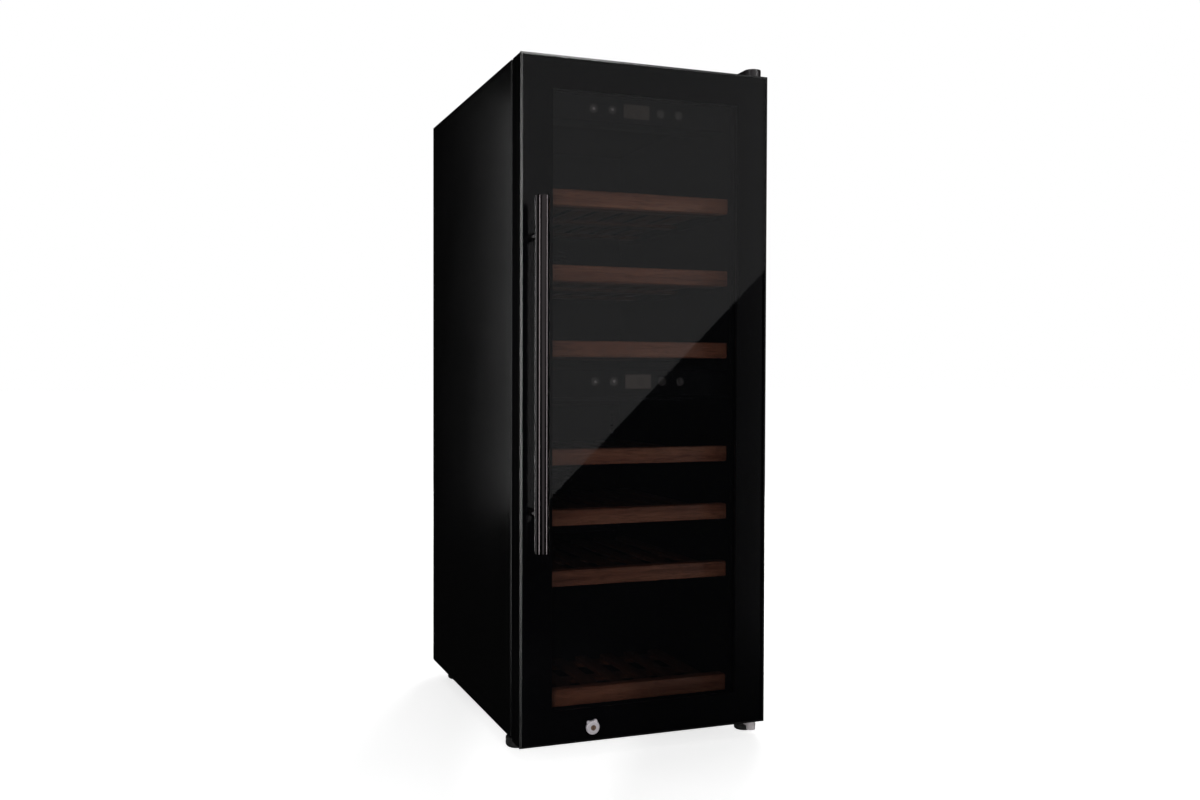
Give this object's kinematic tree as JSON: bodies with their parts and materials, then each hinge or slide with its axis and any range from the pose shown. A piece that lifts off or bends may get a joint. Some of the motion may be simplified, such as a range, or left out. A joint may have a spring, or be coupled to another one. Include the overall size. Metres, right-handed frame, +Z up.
{
  "type": "wine cooler",
  "caption": "Tall free-standing dual-zone wine cooler: black cabinet, full dark glass door with a bar handle and key lock, sliding wooden shelves and a floor rack.",
  "frame": {"origin": "on the floor at the centre of the overall box", "axes": "+Z up, +Y to the back, +X to the hinged side of the door"},
  "size_m": [0.395, 0.6121, 1.0233],
  "materials": {
    "shell_black": "satin",
    "rear_steel": "satin",
    "foam": "matte",
    "liner_black": "satin",
    "cavity_trim": "matte",
    "beech": "satin",
    "led_diffuser": "satin",
    "bracket_steel": "satin",
    "screw_steel": "satin",
    "hinge_plastic": "satin",
    "panel_black": "gloss",
    "display_smoke": "gloss",
    "button_black": "gloss",
    "bare_aluminium": "satin",
    "spacer_black": "satin",
    "fan_plastic": "satin",
    "compressor_black": "satin",
    "mount_rubber": "matte",
    "terminal_plastic": "matte",
    "copper": "satin",
    "tray_plastic": "matte",
    "inlet_plastic": "satin",
    "smoked_glass": "polished",
    "clear_glass": "polished",
    "frame_black": "satin",
    "seal_rubber": "matte",
    "handle_metal": "polished",
    "lock_chrome": "polished",
    "lock_brass": "satin",
    "foot_black": "satin"
  },
  "bodies": {
    "cabinet": {"side_panel_left": "shell_black", "side_panel_right": "shell_black", "top_panel": "shell_black", "back_panel": "rear_steel", "base_pan": "rear_steel", "insulation_foam": "foam", "liner_upper": "liner_black", "liner_lower": "liner_black", "zone_divider": "liner_black", "shelf_runners": "cavity_trim", "bottom_rack": "beech", "led_strips": "led_diffuser", "hinge_bracket_top": "bracket_steel", "hinge_bracket_bottom": "bracket_steel", "hinge_cover": "hinge_plastic", "cabinet_screws": "screw_steel", "control_housing_upper": "panel_black", "control_housing_lower": "panel_black", "display_boards": "display_smoke", "evaporator_covers": "cavity_trim", "evaporators": "bare_aluminium", "fan_frames": "fan_plastic", "compressor": "compressor_black", "compressor_mounts": "mount_rubber", "terminal_box": "terminal_plastic", "condenser": "bare_aluminium", "refrigerant_pipes": "copper", "drip_tray": "tray_plastic", "rear_cover": "rear_steel", "mains_inlet": "inlet_plastic"},
    "door": {"door_glass": "smoked_glass", "inner_pane": "clear_glass", "glass_spacer": "spacer_black", "door_frame": "frame_black", "door_gasket": "seal_rubber", "handle_bar": "handle_metal", "handle_posts": "handle_metal", "lock_barrel": "lock_chrome"},
    "lock": {"lock_core": "lock_brass"},
    "shelf_1": {"shelf_1": "beech"},
    "shelf_2": {"shelf_2": "beech"},
    "shelf_3": {"shelf_3": "beech"},
    "shelf_4": {"shelf_4": "beech"},
    "shelf_5": {"shelf_5": "beech"},
    "shelf_6": {"shelf_6": "beech"},
    "upper_up_button": {"upper_up_button": "button_black"},
    "upper_down_button": {"upper_down_button": "button_black"},
    "upper_set_button": {"upper_set_button": "button_black"},
    "upper_power_button": {"upper_power_button": "button_black"},
    "lower_up_button": {"lower_up_button": "button_black"},
    "lower_down_button": {"lower_down_button": "button_black"},
    "lower_set_button": {"lower_set_button": "button_black"},
    "lower_power_button": {"lower_power_button": "button_black"},
    "upper_fan": {"upper_fan_rotor": "fan_plastic"},
    "lower_fan": {"lower_fan_rotor": "fan_plastic"},
    "condenser_fan": {"condenser_fan_rotor": "fan_plastic"},
    "foot_front_left": {"foot_front_left": "foot_black"},
    "foot_front_right": {"foot_front_right": "foot_black"},
    "foot_rear_left": {"foot_rear_left": "foot_black"},
    "foot_rear_right": {"foot_rear_right": "foot_black"}
  },
  "joints": [
    {"name": "door_hinge", "type": "hinge", "parent": "cabinet", "child": "door", "pos_m": [0.183, -0.22883, 0.5], "axis": [0, 0, 1], "range_deg": [0, 110]},
    {"name": "lock_turn", "type": "hinge", "parent": "door", "child": "lock", "pos_m": [-0.0865, -0.24582, 0.041], "axis": [0, 1, 0], "range_deg": [0, 90]},
    {"name": "shelf_1_slide", "type": "slide", "parent": "cabinet", "child": "shelf_1", "axis": [0, -1, 0], "range_m": [0, 0.022]},
    {"name": "shelf_2_slide", "type": "slide", "parent": "cabinet", "child": "shelf_2", "axis": [0, -1, 0], "range_m": [0, 0.022]},
    {"name": "shelf_3_slide", "type": "slide", "parent": "cabinet", "child": "shelf_3", "axis": [0, -1, 0], "range_m": [0, 0.022]},
    {"name": "shelf_4_slide", "type": "slide", "parent": "cabinet", "child": "shelf_4", "axis": [0, -1, 0], "range_m": [0, 0.022]},
    {"name": "shelf_5_slide", "type": "slide", "parent": "cabinet", "child": "shelf_5", "axis": [0, -1, 0], "range_m": [0, 0.022]},
    {"name": "shelf_6_slide", "type": "slide", "parent": "cabinet", "child": "shelf_6", "axis": [0, -1, 0], "range_m": [0, 0.022]},
    {"name": "upper_up_press", "type": "slide", "parent": "cabinet", "child": "upper_up_button", "axis": [0, 1, 0], "range_m": [0, 0.0008], "stiffness_N_per_m": 700, "springref_m": -0.0008},
    {"name": "upper_down_press", "type": "slide", "parent": "cabinet", "child": "upper_down_button", "axis": [0, 1, 0], "range_m": [0, 0.0008], "stiffness_N_per_m": 700, "springref_m": -0.0008},
    {"name": "upper_set_press", "type": "slide", "parent": "cabinet", "child": "upper_set_button", "axis": [0, 1, 0], "range_m": [0, 0.0008], "stiffness_N_per_m": 700, "springref_m": -0.0008},
    {"name": "upper_power_press", "type": "slide", "parent": "cabinet", "child": "upper_power_button", "axis": [0, 1, 0], "range_m": [0, 0.0008], "stiffness_N_per_m": 700, "springref_m": -0.0008},
    {"name": "lower_up_press", "type": "slide", "parent": "cabinet", "child": "lower_up_button", "axis": [0, 1, 0], "range_m": [0, 0.0008], "stiffness_N_per_m": 700, "springref_m": -0.0008},
    {"name": "lower_down_press", "type": "slide", "parent": "cabinet", "child": "lower_down_button", "axis": [0, 1, 0], "range_m": [0, 0.0008], "stiffness_N_per_m": 700, "springref_m": -0.0008},
    {"name": "lower_set_press", "type": "slide", "parent": "cabinet", "child": "lower_set_button", "axis": [0, 1, 0], "range_m": [0, 0.0008], "stiffness_N_per_m": 700, "springref_m": -0.0008},
    {"name": "lower_power_press", "type": "slide", "parent": "cabinet", "child": "lower_power_button", "axis": [0, 1, 0], "range_m": [0, 0.0008], "stiffness_N_per_m": 700, "springref_m": -0.0008},
    {"name": "upper_fan_spin", "type": "hinge", "parent": "cabinet", "child": "upper_fan", "pos_m": [0, 0.22448, 0.75], "axis": [0, 1, 0], "continuous": true},
    {"name": "lower_fan_spin", "type": "hinge", "parent": "cabinet", "child": "lower_fan", "pos_m": [0, 0.22448, 0.381], "axis": [0, 1, 0], "continuous": true},
    {"name": "condenser_fan_spin", "type": "hinge", "parent": "cabinet", "child": "condenser_fan", "pos_m": [0.092, 0.18748, 0.085], "axis": [0, 1, 0], "continuous": true},
    {"name": "foot_front_left_level", "type": "slide", "parent": "cabinet", "child": "foot_front_left", "axis": [0, 0, 1], "range_m": [-0.012, 0]},
    {"name": "foot_front_right_level", "type": "slide", "parent": "cabinet", "child": "foot_front_right", "axis": [0, 0, 1], "range_m": [-0.006, 0]},
    {"name": "foot_rear_left_level", "type": "slide", "parent": "cabinet", "child": "foot_rear_left", "axis": [0, 0, 1], "range_m": [-0.012, 0]},
    {"name": "foot_rear_right_level", "type": "slide", "parent": "cabinet", "child": "foot_rear_right", "axis": [0, 0, 1], "range_m": [-0.012, 0]}
  ]
}
